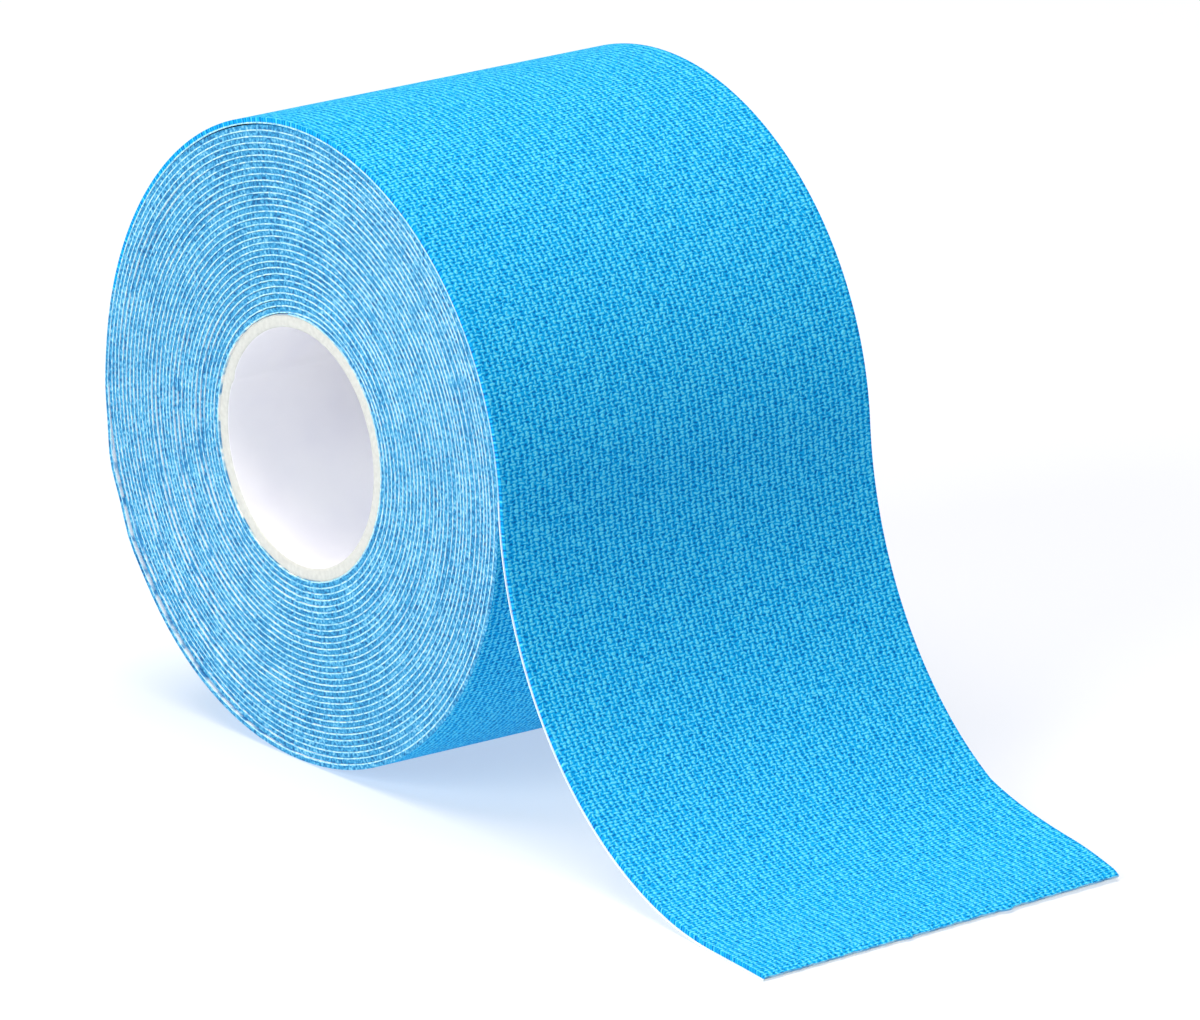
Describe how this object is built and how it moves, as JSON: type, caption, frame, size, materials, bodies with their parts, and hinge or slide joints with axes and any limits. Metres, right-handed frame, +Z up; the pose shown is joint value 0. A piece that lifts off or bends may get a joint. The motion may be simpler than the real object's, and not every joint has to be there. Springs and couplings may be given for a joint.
{
  "type": "elastic adhesive tape roll",
  "caption": "Roll of elastic cotton adhesive tape wound on a hollow core over backing paper, standing on its rim with a free tail that curves down to the table.",
  "frame": {"origin": "the point on the table under the middle of the roll, on the roll's flat where it stands", "axes": "+Y along the roll's axis towards its rear face, +X the way the drawn-off tail runs, +Z up"},
  "size_m": [0.1233, 0.055, 0.0715],
  "materials": {
    "core_plastic": "white moulded plastic, satin in the bore and matt on the rims",
    "elastic_cotton": "bright blue woven elastic cotton, dull, with a fine raised weave",
    "backing_paper": "white coated release paper, smooth"
  },
  "bodies": {
    "roll": {"core_tube": "core_plastic", "fabric_inner_winding": "elastic_cotton", "fabric_outer_winding": "elastic_cotton", "liner_winding": "backing_paper"},
    "tail": {"fabric_tail": "elastic_cotton", "liner_tail": "backing_paper"},
    "end_flap": {"fabric_end_flap": "elastic_cotton"}
  },
  "joints": [
    {"name": "tail_lift", "type": "hinge", "parent": "roll", "child": "tail", "pos_m": [0.03652, 0, 0.03798], "axis": [0, -1, 0], "range_deg": [0, 90]},
    {"name": "end_peel", "type": "hinge", "parent": "tail", "child": "end_flap", "pos_m": [0.07108, 0, 0.001], "axis": [0, -1, 0], "range_deg": [0, 120]}
  ]
}
